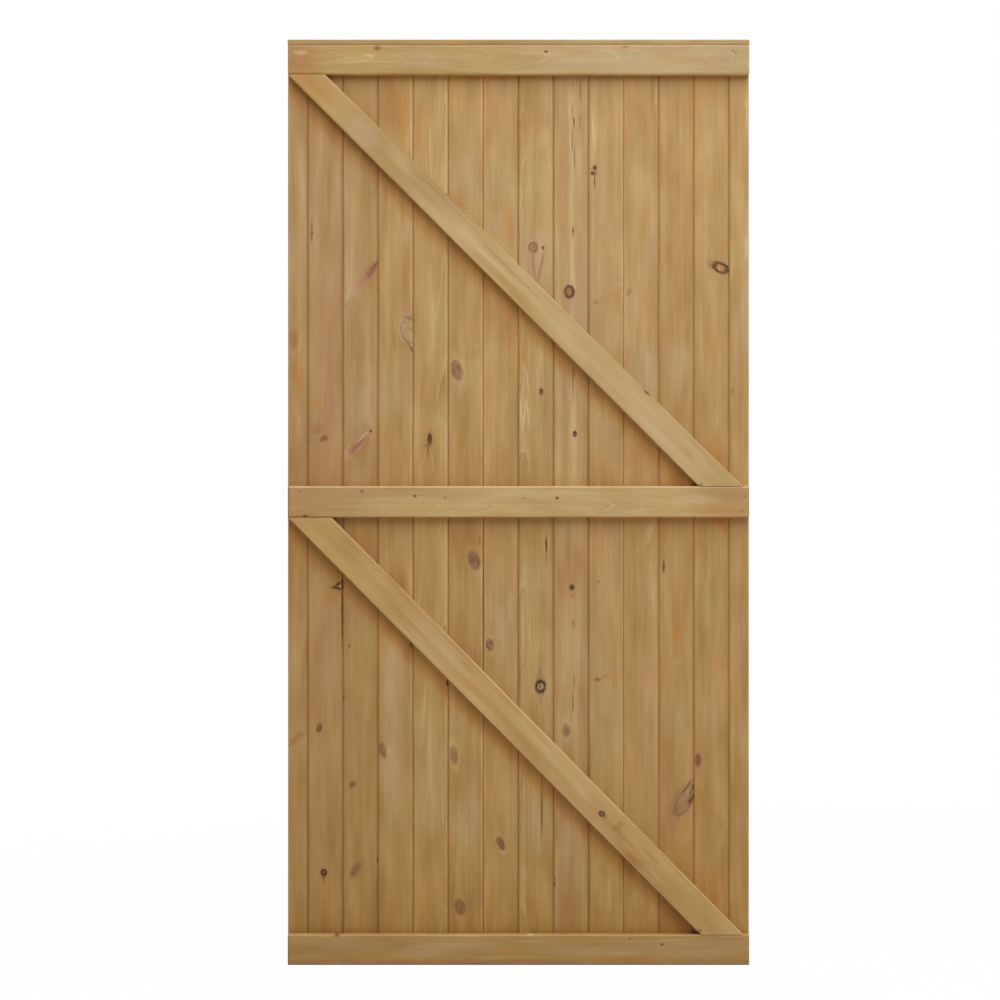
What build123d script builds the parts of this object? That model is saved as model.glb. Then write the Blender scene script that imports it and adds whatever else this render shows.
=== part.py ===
from build123d import *

import math
import os

# A ledged, braced and matchboarded garden gate leaf, in millimetres.
# X runs along the gate: the hinge edge is at X = 0 and the closing edge at X = -gate_width.
# Y runs through it: the boards are centred on Y = 0, the ledges and braces are on their -Y side.
# Z runs up from the foot of the boards.

# The whole leaf
gate_width = 914.0
gate_height = 1829.0

# Matchboards: tongued, grooved and V-jointed, with the V on the front (+Y)
board_cover = 69.6  # what one whole board adds to the width
board_thickness = 16.0
v_joint = 3.0  # the 45 degree bevel that makes half of each V
front_joint_gap = 0.4  # between two shoulders on the front
back_joint_gap = 1.1  # between two shoulders on the back
back_arris = 0.6  # bevel on the back edges of each board
side_arris = 1.2  # bevel on the two side edges of the leaf
tongue_length = 6.5
tongue_thickness = 5.0
tongue_setback = 1.0  # from the middle of the thickness towards the back
tongue_nose = 1.0  # bevel on the tongue's tip
tongue_cheek_clearance = 0.2
tongue_tip_clearance = 1.0

# Ledges: the three rails across the back
ledge_thickness = 20.0
ledge_end_inset = 1.2  # how far each end stops short of the leaf's side
ledge_arris = 3.5  # rounding along the two outer edges
ledge_end_arris = 0.9  # bevel round each sawn end
top_ledge_width = 58.6
middle_ledge_width = 61.4
bottom_ledge_width = 60.0
middle_ledge_height = 884.9  # from the foot of the boards to its lower edge

# Braces: cut level at both ends, each with its foot at the hinge side
brace_thickness = 20.0
brace_arris = 3.0  # rounding along the two outer edges
brace_head_clearance = 0.5  # saw gap under the ledge above
brace_tip_inset = 2.4  # from the closing edge to the head's tip
brace_tip_height = 2.0  # the tip is sawn off this high
brace_foot_inset = 13.5  # from the hinge edge to the foot's outer corner
upper_brace_head = 72.5  # length of the level cut at the head
upper_brace_foot = 87.2  # length of the level cut at the foot
lower_brace_head = 84.8
lower_brace_foot = 84.2

# Cap: a thin strip over the boards' ends and the top ledge
cap_thickness = 9.9
cap_end_inset = 0.8
cap_arris = 1.6  # rounding round its top
cap_foot_arris = 0.7  # bevel along its lower outer edges

# Worked out from the sizes above
board_back = -board_thickness / 2
board_front = board_thickness / 2
board_length = gate_height - cap_thickness
tongue_low = -tongue_setback - tongue_thickness / 2
tongue_high = -tongue_setback + tongue_thickness / 2
whole_boards = max(int(gate_width // board_cover) - 1, 1)
edge_board_cover = (gate_width - whole_boards * board_cover) / 2
joint_lines = [edge_board_cover - gate_width + n * board_cover for n in range(whole_boards + 1)]


def side_edge(x, outward):
    """Corners of a plain edge at x, from the back to the front. outward is 1 at the right, -1 at the left."""
    inner = x - outward * side_arris
    return [
        (inner, board_back),
        (x, board_back + side_arris),
        (x, board_front - side_arris),
        (inner, board_front),
    ]


def tongue_edge(joint):
    """Corners of the right edge of a board that ends at a joint, from the back to the front."""
    back = joint - back_joint_gap / 2
    front = joint - front_joint_gap / 2
    tip = joint + tongue_length
    return [
        (back - back_arris, board_back),
        (back, board_back + back_arris),
        (back, tongue_low),
        (tip - tongue_nose, tongue_low),
        (tip, tongue_low + tongue_nose),
        (tip, tongue_high - tongue_nose),
        (tip - tongue_nose, tongue_high),
        (front, tongue_high),
        (front, board_front - v_joint),
        (front - v_joint, board_front),
    ]


def groove_edge(joint):
    """Corners of the left edge of a board that starts at a joint, from the back to the front."""
    back = joint + back_joint_gap / 2
    front = joint + front_joint_gap / 2
    bottom = joint + tongue_length + tongue_tip_clearance
    low = tongue_low - tongue_cheek_clearance
    high = tongue_high + tongue_cheek_clearance
    return [
        (back + back_arris, board_back),
        (back, board_back + back_arris),
        (back, low),
        (bottom, low),
        (bottom, high),
        (front, high),
        (front, board_front - v_joint),
        (front + v_joint, board_front),
    ]


def board(left_edge, right_edge):
    """A board of the section between two edges, standing on Z = 0."""
    outline = Polyline(*left_edge, *reversed(right_edge), close=True)
    return extrude(make_face(outline), board_length)


def matchboards():
    """All the boards, from the closing edge to the hinge edge."""
    left_edges = [side_edge(-gate_width, -1)] + [groove_edge(x) for x in joint_lines]
    right_edges = [tongue_edge(x) for x in joint_lines] + [side_edge(0, 1)]
    return [board(left, right) for left, right in zip(left_edges, right_edges)]


def ledge(height, width):
    """A rail across the boards' back, with its lower edge at height."""
    length = gate_width - 2 * ledge_end_inset
    bar = Pos(-gate_width / 2, board_back, height) * Box(
        length, ledge_thickness, width, align=(Align.CENTER, Align.MAX, Align.MIN)
    )
    outer = bar.faces().sort_by(Axis.Y)[0]
    bar = fillet(outer.edges().filter_by(Axis.X), ledge_arris)
    for end in (bar.faces().sort_by(Axis.X)[0], bar.faces().sort_by(Axis.X)[-1]):
        seat = end.edges().sort_by(Axis.Y)[-1]
        bar = chamfer([edge for edge in end.edges() if edge != seat], ledge_end_arris)
    return bar


def is_slanted(edge):
    """True for an edge that runs neither along the gate, through it nor up it."""
    way = edge % 0.5
    return min(abs(way.X), abs(way.Z)) > math.sin(math.radians(5))


def brace(foot_height, head_height, head, foot):
    """A diagonal between two ledges, leaning from its foot by the hinges to its head at the closing edge."""
    tip = brace_tip_inset - gate_width
    heel = -brace_foot_inset
    top = head_height - brace_head_clearance
    outline = Polyline(
        (tip, top),
        (tip, top - brace_tip_height),
        (heel - foot, foot_height),
        (heel, foot_height),
        (tip + head, top),
        close=True,
    )
    bar = extrude(Plane.XZ * make_face(outline), brace_thickness)
    bar = Pos(0, board_back, 0) * bar
    outer = bar.faces().sort_by(Axis.Y)[0]
    return fillet([edge for edge in outer.edges() if is_slanted(edge)], brace_arris)


def cap():
    """The strip over the boards' ends, as deep as boards and ledge together."""
    length = gate_width - 2 * cap_end_inset
    depth = board_thickness + ledge_thickness
    bar = Pos(-gate_width / 2, board_front, board_length) * Box(
        length, depth, cap_thickness, align=(Align.CENTER, Align.MAX, Align.MIN)
    )
    bar = fillet(bar.faces().sort_by(Axis.Z)[-1].edges(), cap_arris)
    foot = bar.faces().sort_by(Axis.Z)[0]
    return chamfer(foot.edges().filter_by(Axis.X), cap_foot_arris)


top_ledge_height = board_length - top_ledge_width
middle_ledge_top = middle_ledge_height + middle_ledge_width

parts = {f"board_{n:02d}": solid for n, solid in enumerate(matchboards(), 1)}
parts["bottom_ledge"] = ledge(0, bottom_ledge_width)
parts["middle_ledge"] = ledge(middle_ledge_height, middle_ledge_width)
parts["top_ledge"] = ledge(top_ledge_height, top_ledge_width)
parts["lower_brace"] = brace(bottom_ledge_width, middle_ledge_height, lower_brace_head, lower_brace_foot)
parts["upper_brace"] = brace(middle_ledge_top, top_ledge_height, upper_brace_head, upper_brace_foot)
parts["top_cap"] = cap()

os.makedirs("parts", exist_ok=True)
for name, solid in parts.items():
    export_step(solid, f"parts/{name}.step")
    print(name, "volume", round(solid.volume / 1000), "cm3")
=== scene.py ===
import math
import random
from functools import partial

import bpy
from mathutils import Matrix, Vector


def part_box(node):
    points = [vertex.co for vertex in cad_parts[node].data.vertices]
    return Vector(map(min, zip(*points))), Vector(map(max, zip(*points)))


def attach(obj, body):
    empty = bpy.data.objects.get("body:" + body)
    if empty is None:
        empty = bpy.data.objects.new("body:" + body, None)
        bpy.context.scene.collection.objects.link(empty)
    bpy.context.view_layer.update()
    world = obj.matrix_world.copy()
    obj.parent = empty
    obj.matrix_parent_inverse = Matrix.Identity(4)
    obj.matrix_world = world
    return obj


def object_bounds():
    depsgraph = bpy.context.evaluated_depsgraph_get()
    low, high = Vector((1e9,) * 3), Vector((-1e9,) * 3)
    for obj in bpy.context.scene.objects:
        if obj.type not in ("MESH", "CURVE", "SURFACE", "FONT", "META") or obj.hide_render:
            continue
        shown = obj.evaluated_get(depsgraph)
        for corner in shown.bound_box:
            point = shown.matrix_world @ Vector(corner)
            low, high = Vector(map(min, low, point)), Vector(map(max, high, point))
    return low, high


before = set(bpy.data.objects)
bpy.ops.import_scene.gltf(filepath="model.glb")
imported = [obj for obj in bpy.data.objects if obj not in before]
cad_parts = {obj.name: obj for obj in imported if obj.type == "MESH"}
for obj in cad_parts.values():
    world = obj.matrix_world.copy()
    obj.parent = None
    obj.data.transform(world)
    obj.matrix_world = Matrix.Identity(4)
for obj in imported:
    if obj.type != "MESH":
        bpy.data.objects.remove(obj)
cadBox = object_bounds()
mm = 0.001  # everything is in metres; grain, knots and nails are given in mm
print("frame loaded:", len(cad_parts), "pieces of wood")

throughAll = 1e5  # mm; a mark goes right through the wood
endToEnd = 6000  # mm, longer than any piece


def tone(red, green, blue):
    # A colour as a picture shows it, 0 to 255, turned into the shaders' own scale
    return tuple(((part / 255 + 0.055) / 1.055) ** 2.4 for part in (red, green, blue)) + (1.0,)


def placed(name, data):
    made = bpy.data.objects.new(name, data)
    bpy.context.scene.collection.objects.link(made)
    return made


def bothWays(operation):
    # An operator for wires, and its form for a number on the left
    def forwards(wire, other):
        return wire.finish.math(operation, wire, other)

    def reflected(wire, other):
        return wire.finish.math(operation, other, wire)

    return forwards, reflected


class Wire:
    # One output of a node. Sums written with it add Math nodes.
    def __init__(self, finish, socket):
        self.finish = finish
        self.socket = socket

    __add__, __radd__ = bothWays("ADD")
    __sub__, __rsub__ = bothWays("SUBTRACT")
    __mul__, __rmul__ = bothWays("MULTIPLY")
    __truediv__, __rtruediv__ = bothWays("DIVIDE")
    __pow__, __rpow__ = bothWays("POWER")

    def math(self, operation, *others):
        return self.finish.math(operation, self, *others)

    def __abs__(self):
        return self.math("ABSOLUTE")

    def larger(self, other):
        return self.math("MAXIMUM", other)

    def between(self, low, high):
        # 0 at low, 1 at high, eased at both ends; low may be the larger
        eased = {"interpolation_type": "SMOOTHSTEP"}
        span = {"Value": self, "From Min": low, "From Max": high}
        return self.finish.node("ShaderNodeMapRange", eased, span)


class Finish:
    # The nodes of a material, of the room or of the nails, while they are made
    def __init__(self, owner):
        if isinstance(owner, bpy.types.NodeTree):
            self.tree = owner
        else:
            owner.use_nodes = True
            self.tree = owner.node_tree
        self.tree.nodes.clear()

    def node(self, kind, settings, inputs, output=0):
        made = self.tree.nodes.new(kind)
        for setting, value in settings.items():
            setattr(made, setting, value)
        for key, value in inputs.items():
            if isinstance(value, Wire):
                self.tree.links.new(value.socket, made.inputs[key])
            else:
                made.inputs[key].default_value = value
        return Wire(self, made.outputs[output] if made.outputs else None)

    def math(self, operation, *terms):
        return self.node("ShaderNodeMath", {"operation": operation}, dict(enumerate(terms)))

    def mix(self, amount, under, over, blend="MIX"):
        kind = {"data_type": "RGBA", "blend_type": blend}
        return self.node("ShaderNodeMix", kind, {0: amount, 6: under, 7: over}, output=2)

    def vector(self, operation, *terms, output=0):
        return self.node("ShaderNodeVectorMath", {"operation": operation}, dict(enumerate(terms)), output)

    def noise(self, place, sizes, shift, detail=2.0, output=0):
        # Noise with features of the given sizes, in mm, across, through and along the grain
        scaled = self.vector("MULTIPLY_ADD", place, [1 / size for size in sizes], shift)
        return self.node("ShaderNodeTexNoise", {}, {"Vector": scaled, "Scale": 1.0, "Detail": detail}, output)

    def reach(self, place, mark, spread=(1.0, 1.0)):
        # Distance from a mark's middle: 1 on its oval outline, whichever way it leans
        wide, tall = mark["size"]
        half = (wide / 2 * spread[0], throughAll, tall / 2 * spread[1])
        lean = (0, math.radians(mark["lean"]), 0)
        spot = (mark["across"], 0, mark["along"])
        turned = self.node(
            "ShaderNodeMapping",
            {"vector_type": "TEXTURE"},
            {"Vector": place, "Location": spot, "Rotation": lean, "Scale": half},
        )
        return self.vector("LENGTH", turned, output=1)

    def seen(self):
        # 1 where the camera sees it, itself or as a reflection
        camera, glossy, through = (
            self.node("ShaderNodeLightPath", {}, {}, output=f"Is {way} Ray")
            for way in ("Camera", "Glossy", "Transmission")
        )
        return camera.larger(glossy).larger(through)


# Camera and light

cameraLook = {
    "lens": 92.5,  # on a 36 mm sensor
    "distance": 5.1042,  # from the middle of the boards
    "across": -0.4936,
    "height": 0.91905,
}

# A wide soft lamp hangs over each side of the gate, the ledged side's the stronger
lampLooks = {
    "ledge side lamp": {"place": (-0.19, -1.56, 4.1), "size": (3.4, 5.3), "power": 236.0},
    "front side lamp": {"place": (-0.7, 2.2, 3.0), "size": (2.6, 2.6), "power": 76.0},
}
lampAim = Vector((-0.45, 0, 1.0))
roomLook = {
    "fill": 0.22,  # how brightly the room lights the gate
    "colour": (1.0, 0.56, 0.18, 1.0),  # its light is warm, as if it came off more stained wood
    "seen": (1.0, 1.0, 1.0, 1.0),
}


def setCamera():
    lens = bpy.data.cameras.new("camera")
    lens.lens = cameraLook["lens"]
    camera = placed("camera", lens)
    camera.location = (cameraLook["across"], -cameraLook["distance"], cameraLook["height"])
    camera.rotation_euler = (math.radians(90), 0, 0)
    bpy.context.scene.camera = camera


def setLamps():
    for name, look in lampLooks.items():
        lamp = bpy.data.lights.new(name, "AREA")
        lamp.shape = "RECTANGLE"
        lamp.size, lamp.size_y = look["size"]
        lamp.energy = look["power"]
        hung = placed(name, lamp)
        hung.location = look["place"]
        hung.rotation_euler = (lampAim - hung.location).to_track_quat("-Z", "Y").to_euler()
        hung.visible_camera = False


def setRoom():
    # The room is seen white, but lights the gate with the warm fill alone
    world = bpy.data.worlds.new("room")
    finish = Finish(world)
    seen = finish.seen()
    strength = roomLook["fill"] + (1 - roomLook["fill"]) * seen
    colour = finish.mix(seen, roomLook["colour"], roomLook["seen"])
    glow = finish.node("ShaderNodeBackground", {}, {"Color": colour, "Strength": strength})
    finish.node("ShaderNodeOutputWorld", {}, {"Surface": glow})
    bpy.context.scene.world = world


floorLook = {
    "reach": 30.0,  # half its side
    "colour": (0.7, 0.7, 0.7, 1.0),
    "nearWhite": 0.94,  # how far the camera sees it as white by the gate
    "nearEnd": 1.0,
    "farStart": 3.5,
}


def setFloor():
    material = bpy.data.materials.new("pale floor")
    finish = Finish(material)
    place = finish.node("ShaderNodeTexCoord", {}, {}, output="Object")
    away = finish.vector("LENGTH", place, output=1)
    near = floorLook["nearWhite"]
    white = near + (1 - near) * away.between(floorLook["nearEnd"], floorLook["farStart"])
    matt = finish.node("ShaderNodeBsdfDiffuse", {}, {"Color": floorLook["colour"]})
    glow = finish.node("ShaderNodeEmission", {}, {"Strength": 1.0})
    surface = finish.node("ShaderNodeMixShader", {}, {0: white * finish.seen(), 1: matt, 2: glow})
    finish.node("ShaderNodeOutputMaterial", {}, {"Surface": surface})
    far = floorLook["reach"]
    foot = cadBox[0].z
    corners = [(x, y, foot) for x, y in ((-far, -far), (far, -far), (far, far), (-far, far))]
    mesh = bpy.data.meshes.new("floor")
    mesh.from_pydata(corners, [], [(0, 1, 2, 3)])
    mesh.materials.append(material)
    floor = placed("floor", mesh)


setCamera()
setLamps()
setRoom()
setFloor()
bpy.context.scene.view_settings.view_transform = "Standard"
print("camera, lamps, room and floor set")


# Stained pine

stains = {
    "golden": tone(171, 137, 81),
    "tan": tone(173, 137, 88),
    "straw": tone(184, 154, 102),
    "olive": tone(164, 134, 79),
    "rosy": tone(173, 135, 93),
    "dull": tone(158, 128, 86),
    "orange": tone(178, 126, 60),
    "honey": tone(206, 150, 88),
    "late": tone(144, 104, 56),
    "pale": tone(196, 168, 122),
    "haze": tone(182, 158, 122),
    "pink": tone(176, 126, 98),
    "amber": tone(150, 98, 44),
    "russet": tone(128, 74, 44),
    "plum": tone(130, 82, 58),
    "umber": tone(98, 56, 28),
    "bark": tone(44, 15, 2),
    "grey": tone(138, 118, 92),
}

noTint = (1.0, 1.0, 1.0)
plainGrain = {
    "main": "golden",
    "other": "tan",
    "otherShare": 0.5,  # how much of the surface the other stain takes
    "blend": 0.14,  # how gradually one goes over into the other
    "warmth": 0.36,  # how strongly the orange clouds colour it
    "paleness": 0.26,  # and the pale streaks
    "pithAcross": 70.0,  # the tree's middle, from the piece's own
    "pithDepth": 60.0,
    "pithLean": 0.02,  # how far the middle runs away through the wood, mm in each mm along
    "ringSpacing": 3.6,
    "ringContrast": 0.22,
    "ringEdge": 6,  # how sharply each ring ends
    "ringLeast": 0.35,  # how strong the faintest ring is
    "paleLines": 0.14,  # the thin light line after each ring
    "paleWidth": 0.2,  # and how much of the ring it takes
    "sway": (2.0, 3.0),  # how far the rings wander across and through
    "swayWidth": 60.0,
    "swayLength": 480.0,
    "wobble": 2.4,  # how far a ring strays from its round
    "fibre": 0.17,
    "thread": 0.1,
    "tinge": 0.1,  # how the fibres differ in colour
    "streak": 0.12,
    "blotch": 0.36,
    "redPower": 0.7,  # darker wood keeps more of its red
    "bluePower": 1.6,  # and less of its blue
    "endStain": (0.25, 0.6),  # on the end grain, everywhere and on its rings
    "ledgePaintedShades": [],  # where painted shade darkens the boards beside a ledge
    "tint": noTint,
    "under": noTint,  # the painted light and shade on its lower long arris, and on its upper one
    "over": noTint,
    "foot": noTint,  # the painted shade at the foot of the gate, under its middle ledge and over it
    "waist": noTint,
    "head": noTint,
    "relief": 0.35,  # how strongly the grain stands up
    "reliefDepth": 0.25 * mm,
    "roughness": 0.5,
    "roughnessSpread": 0.12,
    "gloss": 0.3,
}

# The patterns in the wood: size in mm across, through and along the grain, how fine the detail is, and
# for some where they begin to show and where they show in full
patterns = {
    "wobble": ((14, 14, 130), 2.0),
    "fine": ((0.8, 0.8, 120), 2.0),
    "coarse": ((2.4, 2.4, 200), 2.0),
    "streak": ((12, 12, 380), 1.0),
    "blotch": ((30, 30, 120), 2.5),
    "hue": ((20, 20, 360), 3.0),
    "warm": ((17, 17, 130), 2.5, 0.46, 0.7),
    "light": ((11, 11, 150), 3.0, 0.5, 0.72),
    "uneven": ((16, 16, 30), 2.0),
    "grit": ((6, 60, 8), 2.0, 0.35, 0.65),
    "rough": ((4.5, 4.5, 7), 2.0),
    "tinge": ((1.6, 1.6, 50), 2.0),
}
noiseSwing = 0.35  # how far noise goes from its middle, 0.5
unevenReach = (10.0, 0, 26.0)  # mm that a broad mark's outline strays, then a fine one's
roughReach = (2.4, 0, 4.0)
fineMark = 9.0  # mm; a mark narrower than this is a fine one
ledgedFace = (-3.5, -6.0)  # mm from a board's middle, where its ledged side begins
behindLedge = (-60, -50)  # mm past a ledge's edge, where its shade ends
waistHeights = (0.15, 0.6)  # m; the painted shade changes from foot to waist, then from waist to head
headHeights = (0.88, 0.95)

plainKnot = {
    "core": "russet",
    "coreShare": 0.9,
    "speckle": 0.5,
    "soft": 0.14,  # how gradually it ends
    "rim": "bark",
    "rimShare": 0.0,
    "rimWidth": 0.24,
    "rimPlace": 0.85,  # 1 is its outline
    "halo": "amber",
    "haloShare": 0.4,
    "haloReach": (1.7, 2.6),
    "rings": 0.0,
    "turns": 17,
    "parting": 0.6,  # how strongly the grain parts round it
    "partingReach": (2.6, 2.8),
}

knotKinds = {
    "pin": {"core": "umber", "rimShare": 0.4, "soft": 0.3},
    "dark": {"core": "bark", "coreShare": 0.8, "rimShare": 0.5, "rimWidth": 0.5, "soft": 0.25},
    "ringed": {"core": "tan", "coreShare": 0.6, "rimShare": 1.0, "rimWidth": 0.58, "halo": "pink",
               "rings": 0.5},
    "paleRinged": {"core": "tan", "coreShare": 0.5, "rim": "plum", "rimShare": 0.6, "rimWidth": 0.5,
                   "halo": "pink"},
    "plum": {"core": "plum", "coreShare": 0.72, "soft": 0.3, "halo": "pale", "rings": 0.3},
    "faint": {"core": "plum", "coreShare": 0.5, "soft": 0.45, "halo": "tan", "rings": 0.2},
    "spike": {"core": "plum", "coreShare": 0.5, "soft": 0.5, "halo": "pink", "haloShare": 0.5,
              "haloReach": (1.3, 1.9)},
    "crack": {"core": "umber", "soft": 0.5, "haloShare": 0.3, "parting": 0},
    "resin": {"coreShare": 0.8, "soft": 0.5, "halo": "orange", "parting": 0},
    "nail": {"core": "bark", "coreShare": 0.55, "soft": 0.4, "haloShare": 0.2, "parting": 0},
}


def knotted(finish, colour, place, grit, knot):
    glow = finish.reach(place, knot, knot["haloReach"]).between(1.0, 0.3)
    far = finish.reach(place, knot)
    speckle = knot["speckle"]
    core = far.between(1.0 + knot["soft"], 1.0 - knot["soft"]) * (1 + speckle / 2 - speckle * grit)
    coats = [(glow, knot["haloShare"], knot["halo"]), (core, knot["coreShare"], knot["core"])]
    if knot["rings"]:
        turns = (far * knot["turns"]).math("SINE").between(-0.2, 1.0) * far.between(1.0, 0.8) * grit
        coats.append((turns, knot["rings"], "umber"))
    if knot["rimShare"]:
        rim = abs(far - knot["rimPlace"]).between(knot["rimWidth"], 0.02) * (0.75 + 0.4 * grit)
        coats.append((rim, knot["rimShare"], knot["rim"]))
    for amount, share, stain in coats:
        colour = finish.mix(amount * (share * knot["share"]), colour, stains[stain])
    return colour


def pine(name, look):
    grain = {**plainGrain, **look}
    angle = grain["angle"]
    dice = random.Random(name)
    material = bpy.data.materials.new(name)
    finish = Finish(material)

    def shift():
        return [dice.uniform(-50, 50) for axis in range(3)]

    def pattern(kind, over, output=0):
        size, detail, *shows = patterns[kind]
        made = finish.noise(over, size, shift(), detail, output)
        return made.between(*shows) if shows else made

    def strayed(kind, reach):
        moved = finish.vector("MULTIPLY_ADD", pattern(kind, place, output=1), reach, place)
        return finish.vector("SUBTRACT", moved, [part / 2 for part in reach])

    spot = finish.node("ShaderNodeTexCoord", {}, {}, output="Object")
    turned = (0, math.pi / 2 - angle, 0)
    place = finish.node(
        "ShaderNodeMapping",
        {"vector_type": "TEXTURE"},
        {"Vector": spot, "Location": grain["middle"], "Rotation": turned, "Scale": (mm, mm, mm)},
    )
    x, y, z = (finish.node("ShaderNodeSeparateXYZ", {}, {0: place}, output=axis) for axis in range(3))

    # The rings wander, and part round the knots
    swaySize = (grain["swayWidth"], grain["swayWidth"], grain["swayLength"])
    swayX, swayY = (finish.noise(place, swaySize, shift()) - 0.5 for way in ("across", "through"))
    across = x + swayX * (2 * grain["sway"][0])
    for knot in grain["knots"]:
        if knot["parting"]:
            near = finish.reach(place, knot, knot["partingReach"]).between(1.0, 0.1)
            across = across - (x - knot["across"]) * (near * knot["parting"])
    deep = y - z * grain["pithLean"] - grain["pithDepth"] + swayY * (2 * grain["sway"][1])
    side = across - grain["pithAcross"]
    wobble = pattern("wobble", place) * grain["wobble"]
    ring = ((side * side + deep * deep).math("SQRT") + wobble) / grain["ringSpacing"]
    number = ring.math("FLOOR")
    strength = finish.node("ShaderNodeTexWhiteNoise", {"noise_dimensions": "1D"}, {"W": number})
    grown = ring - number
    late = grown ** grain["ringEdge"] * (grain["ringLeast"] + strength)
    early = grown.between(grain["paleWidth"], 0.0) * (1.2 - strength)

    # Fibres run along the grain and round the knots with it
    flow = finish.node("ShaderNodeCombineXYZ", {}, {0: across, 1: y, 2: z})
    fine, coarse, streak = (pattern(kind, flow) for kind in ("fine", "coarse", "streak"))
    blotch = pattern("blotch", place)
    hue = pattern("hue", flow)
    warm = pattern("warm", place)
    light = pattern("light", flow)
    edge = 0.5 + (0.5 - grain["otherShare"]) * noiseSwing
    other = hue.between(edge - grain["blend"], edge + grain["blend"])
    colour = finish.mix(other, stains[grain["main"]], stains[grain["other"]])
    for amount, share, stain in (
        (warm, "warmth", "orange"),
        (light, "paleness", "pale"),
        (late, "ringContrast", "late"),
        (early, "paleLines", "pale"),
    ):
        colour = finish.mix(amount * grain[share], colour, stains[stain])

    # Stains and knots, none with a clean outline
    uneven = strayed("uneven", unevenReach)
    grit = pattern("grit", place)
    rough = strayed("rough", roughReach)
    ledgedSide = y.between(*ledgedFace)
    for patch in grain["patches"]:
        outline = rough if min(patch["size"]) < fineMark else uneven
        amount = finish.reach(place if patch["straight"] else outline, patch).between(1.3, 0.2)
        amount = amount * patch["share"]
        if patch["shade"]:
            amount = amount * ledgedSide
        if patch["ripple"]:
            amount = amount * (z * (2 * math.pi / patch["ripple"])).math("SINE").between(-0.5, 1.0)
        colour = finish.mix(amount, colour, stains[patch["stain"]])
    for knot in grain["knots"]:
        colour = knotted(finish, colour, rough, grit, knot)

    # Painted shade beside each ledge: on the ledged side the boards are darker and warmer near it
    for height, way, reach, tint in grain["ledgePaintedShades"]:
        off = (z + (blotch - 0.5) * (reach / 2) - height) * way
        near = off.between(reach, -10) * off.between(*behindLedge) * ledgedSide
        colour = finish.mix(near, colour, (*tint, 1.0), "MULTIPLY")

    # Painted light and shade on the two long arrises: the lower arris, turned from the lamps, gets a painted
    # shade or a warm painted fill light, and the upper one gets a painted highlight
    facing = finish.node("ShaderNodeNewGeometry", {}, {}, output="True Normal")
    downwards = (math.sin(angle), 0, -math.cos(angle))
    turnedDown = finish.vector("DOT_PRODUCT", facing, downwards, output=1)
    for side, way in (("under", 1), ("over", -1)):
        if grain[side] != noTint:
            arris = (turnedDown * way).between(0.3, 0.6)
            colour = finish.mix(arris, colour, (*grain[side], 1.0), "MULTIPLY")

    # End grain drinks more stain and shows its rings
    lengthways = (math.cos(angle), 0, math.sin(angle))
    ends = abs(finish.vector("DOT_PRODUCT", facing, lengthways, output=1)).between(0.8, 0.95)
    evenly, onRings = grain["endStain"]
    colour = finish.mix(ends * (evenly + late * onRings), colour, stains["umber"])

    level = 1.0
    for shade, share in ((fine, "fibre"), (coarse, "thread"), (streak, "streak"), (blotch, "blotch")):
        level = level + (shade - 0.5) * (2 * grain[share])
    tinge = (pattern("tinge", flow) - 0.5) * grain["tinge"]
    red = level ** grain["redPower"] + tinge
    blue = level ** grain["bluePower"] - tinge * 2
    depth = finish.node("ShaderNodeCombineXYZ", {}, {0: red, 1: level, 2: blue})
    # Painted shade: darker and warmer towards the foot, and under the middle ledge on the ledged side
    height = finish.node("ShaderNodeSeparateXYZ", {}, {0: spot}, output=2)
    foot, waist, head = (
        [part * whole for part, whole in zip(grain[end], grain["tint"])] + [1.0]
        for end in ("foot", "waist", "head")
    )
    faded = finish.mix(height.between(*waistHeights), foot, waist)
    faded = finish.mix(height.between(*headHeights) * ledgedSide, faded, head)
    colour = finish.vector("MULTIPLY", finish.vector("MULTIPLY", colour, faded), depth)

    relief = fine * 0.5 + late * 0.5 + coarse * 0.3
    raised = {"Strength": grain["relief"], "Distance": grain["reliefDepth"], "Height": relief}
    surface = finish.node(
        "ShaderNodeBsdfPrincipled",
        {},
        {
            "Base Color": colour,
            "Roughness": grain["roughness"] + (coarse - 0.5) * grain["roughnessSpread"],
            "Specular IOR Level": grain["gloss"],
            "Normal": finish.node("ShaderNodeBump", {}, raised),
        },
    )
    finish.node("ShaderNodeOutputMaterial", {}, {"Surface": surface})
    return material


# Height of each ledge's edge, which way the painted shade fades from it, over how many mm, and its tint; each
# broad painted shade has a narrow warm painted shadow at the edge
ledgePaintedShades = [
    (60.0, 1, 170, (0.95, 0.89, 0.77)),
    (60.0, 1, 24, (0.94, 0.87, 0.73)),
    (884.9, -1, 150, (0.97, 0.93, 0.86)),
    (884.9, -1, 26, (1.1, 0.99, 0.86)),
    (946.3, 1, 170, (0.99, 0.93, 0.85)),
    (946.3, 1, 24, (1.0, 0.93, 0.86)),
    (1760.5, -1, 220, (0.97, 0.93, 0.85)),
    (1760.5, -1, 30, (1.18, 1.03, 0.87)),
]

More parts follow.
